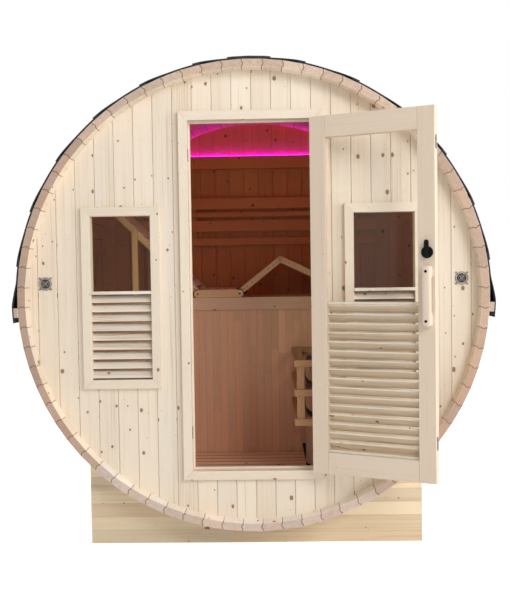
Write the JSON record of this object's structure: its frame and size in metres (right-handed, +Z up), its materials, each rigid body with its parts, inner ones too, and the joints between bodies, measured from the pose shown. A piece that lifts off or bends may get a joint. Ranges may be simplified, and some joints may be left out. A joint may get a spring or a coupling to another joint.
{
  "type": "outdoor sauna",
  "caption": "Round outdoor sauna cabin built of wooden staves, with a shingle roof, a glazed louvred door standing open, louvred windows, bench, lounger and heater inside",
  "frame": {"origin": "on the ground under the middle of the barrel's length, at the underside of the middle cradle", "axes": "+X to the right as seen from the door, +Y from the door to the back wall, +Z up"},
  "size_m": [2.1526, 1.8649, 2.2034],
  "materials": {
    "stave_pine": "planed pine staves, end grain showing",
    "board_pine": "pale planed pine boards with small knots",
    "frame_pine": "smooth pine trim",
    "leaf_pine": "smooth beige pine",
    "inside_pine": "warm brown sauna wood",
    "handle_wood": "rounded oiled wood",
    "cradle_pine": "edge glued pine board",
    "tinted_glass": "brown tinted pane",
    "clear_glass": "clear tempered pane",
    "shingle": "mineral faced bitumen shingle, near black",
    "steel": "brushed stainless steel",
    "black_metal": "satin black",
    "stones": "dark heater stones",
    "light": "coloured light strip"
  },
  "bodies": {
    "cabin": {"floor_staves": "stave_pine", "left_staves": "stave_pine", "right_staves": "stave_pine", "roof_staves": "stave_pine", "hoop_bands": "steel", "vent_guards": "steel", "frame_hinges": "steel", "heater_body": "steel", "front_wall_left": "board_pine", "front_wall_right": "board_pine", "front_wall_over_door": "board_pine", "front_wall_under_door": "board_pine", "back_wall": "board_pine", "door_jamb_left": "frame_pine", "door_jamb_right": "frame_pine", "door_head": "frame_pine", "door_sill": "frame_pine", "left_window_frame": "frame_pine", "right_window_frame": "frame_pine", "window_louvres": "frame_pine", "eave_battens": "frame_pine", "window_glass": "tinted_glass", "left_shingles": "shingle", "right_shingles": "shingle", "ridge_cap": "shingle", "cradles": "cradle_pine", "floor_slats": "inside_pine", "floor_joists": "inside_pine", "bench_front": "inside_pine", "bench_apron": "inside_pine", "bench_top": "inside_pine", "bench_bearers": "inside_pine", "backrest": "inside_pine", "cove_board": "inside_pine", "lounger_seat": "inside_pine", "heater_guard": "inside_pine", "led_strip": "light", "heater_stones": "stones"},
    "door": {"door_stiles": "leaf_pine", "door_rails": "leaf_pine", "door_glass": "clear_glass", "door_louvres": "leaf_pine", "door_handle_inside": "handle_wood", "door_handle_outside": "handle_wood", "door_hinges": "steel", "latch_rose": "black_metal"},
    "latch": {"latch_lever": "black_metal"},
    "lounger_back": {"lounger_back": "inside_pine"},
    "lounger_thigh": {"lounger_thigh": "inside_pine"},
    "lounger_calf": {"lounger_calf": "inside_pine"}
  },
  "joints": [
    {"name": "door_hinge", "type": "hinge", "parent": "cabin", "child": "door", "pos_m": [0.28, -0.7565, 1.1432], "axis": [0, 0, 1], "range_deg": [-155, 15]},
    {"name": "latch_turn", "type": "hinge", "parent": "door", "child": "latch", "pos_m": [0.73314, -1.02463, 1.326], "axis": [-0.4226, -0.9063, 0], "range_deg": [0, 90]},
    {"name": "lounger_back_tilt", "type": "hinge", "parent": "cabin", "child": "lounger_back", "pos_m": [-0.31637, 0.33, 1.139], "axis": [0, 1, 0], "range_deg": [0, 25]},
    {"name": "lounger_knee_lower", "type": "hinge", "parent": "cabin", "child": "lounger_thigh", "pos_m": [-0.08822, 0.33, 1.139], "axis": [0, 1, 0], "range_deg": [0, 38.4]},
    {"name": "lounger_calf_fold", "type": "hinge", "parent": "lounger_thigh", "child": "lounger_calf", "pos_m": [0.13508, 0.33, 1.31599], "axis": [0, 1, 0], "range_deg": [-64.2, 0]}
  ],
  "couplings": [
    {"joint": "lounger_calf_fold", "follows": "lounger_knee_lower", "ratio": -1.6693}
  ]
}
